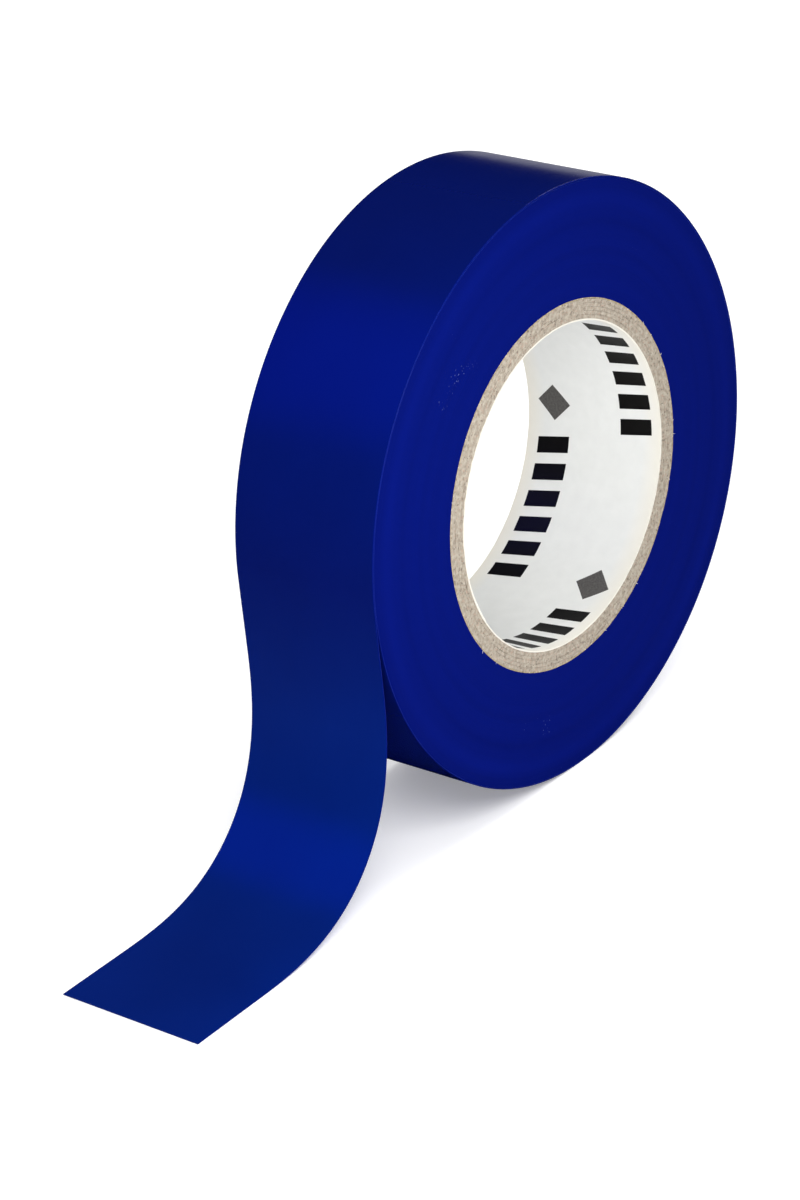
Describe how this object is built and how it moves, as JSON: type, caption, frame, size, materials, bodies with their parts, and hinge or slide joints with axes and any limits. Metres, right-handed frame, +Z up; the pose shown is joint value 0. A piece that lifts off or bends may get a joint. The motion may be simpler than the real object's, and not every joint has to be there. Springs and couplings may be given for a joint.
{
  "type": "electrical tape roll",
  "caption": "Roll of thin glossy plastic insulating tape on a short grey paper core, standing on its rim, with a free tail that hangs down one side and lies flat.",
  "frame": {"origin": "on the surface that the roll stands on, under the middle of the whole outline, roll and tail together", "axes": "+Y along the roll's axis, +Z up, and the tail leaves towards -X; the roll's axis is at x 17.42 mm, z 35.16 mm"},
  "size_m": [0.1052, 0.019, 0.0704],
  "materials": {
    "tape_film": "gloss",
    "tape_adhesive": "gloss",
    "liner_paper": "satin",
    "core_board": "matte",
    "wrap_paper": "matte"
  },
  "bodies": {
    "roll": {"core_liner": "liner_paper", "core_board_ply_1": "core_board", "core_board_ply_2": "core_board", "core_board_ply_3": "core_board", "core_board_ply_4": "core_board", "core_board_ply_5": "core_board", "core_outer_wrap": "wrap_paper", "wound_tape": "tape_film", "last_turn_film": "tape_film", "last_turn_adhesive": "tape_adhesive"},
    "lift_upper": {"lift_upper_film": "tape_film", "lift_upper_adhesive": "tape_adhesive"},
    "lift_lower": {"lift_lower_film": "tape_film", "lift_lower_adhesive": "tape_adhesive"},
    "tail_upper": {"tail_upper_film": "tape_film", "tail_upper_adhesive": "tape_adhesive"},
    "tail_middle": {"tail_middle_film": "tape_film", "tail_middle_adhesive": "tape_adhesive"},
    "tail_end": {"tail_end_film": "tape_film", "tail_end_adhesive": "tape_adhesive"}
  },
  "joints": [
    {"name": "peel_upper", "type": "hinge", "parent": "roll", "child": "lift_upper", "pos_m": [0.00113, 0, 0.06645], "axis": [0, 1, 0], "range_deg": [0, 35]},
    {"name": "peel_lower", "type": "hinge", "parent": "lift_upper", "child": "lift_lower", "pos_m": [-0.01234, 0, 0.05412], "axis": [0, 1, 0], "range_deg": [0, 35]},
    {"name": "tail_pull", "type": "hinge", "parent": "lift_lower", "child": "tail_upper", "pos_m": [-0.01785, 0, 0.0367], "axis": [0, 1, 0], "range_deg": [0, 80]},
    {"name": "tail_middle_bend", "type": "hinge", "parent": "tail_upper", "child": "tail_middle", "pos_m": [-0.01854, 0, 0.01645], "axis": [0, 1, 0], "range_deg": [-40, 0]},
    {"name": "tail_end_bend", "type": "hinge", "parent": "tail_middle", "child": "tail_end", "pos_m": [-0.03042, 0, 0.00194], "axis": [0, 1, 0], "range_deg": [-36, 0]}
  ],
  "couplings": [
    {"joint": "tail_middle_bend", "follows": "tail_pull", "ratio": -0.5},
    {"joint": "tail_end_bend", "follows": "tail_pull", "ratio": -0.45}
  ]
}
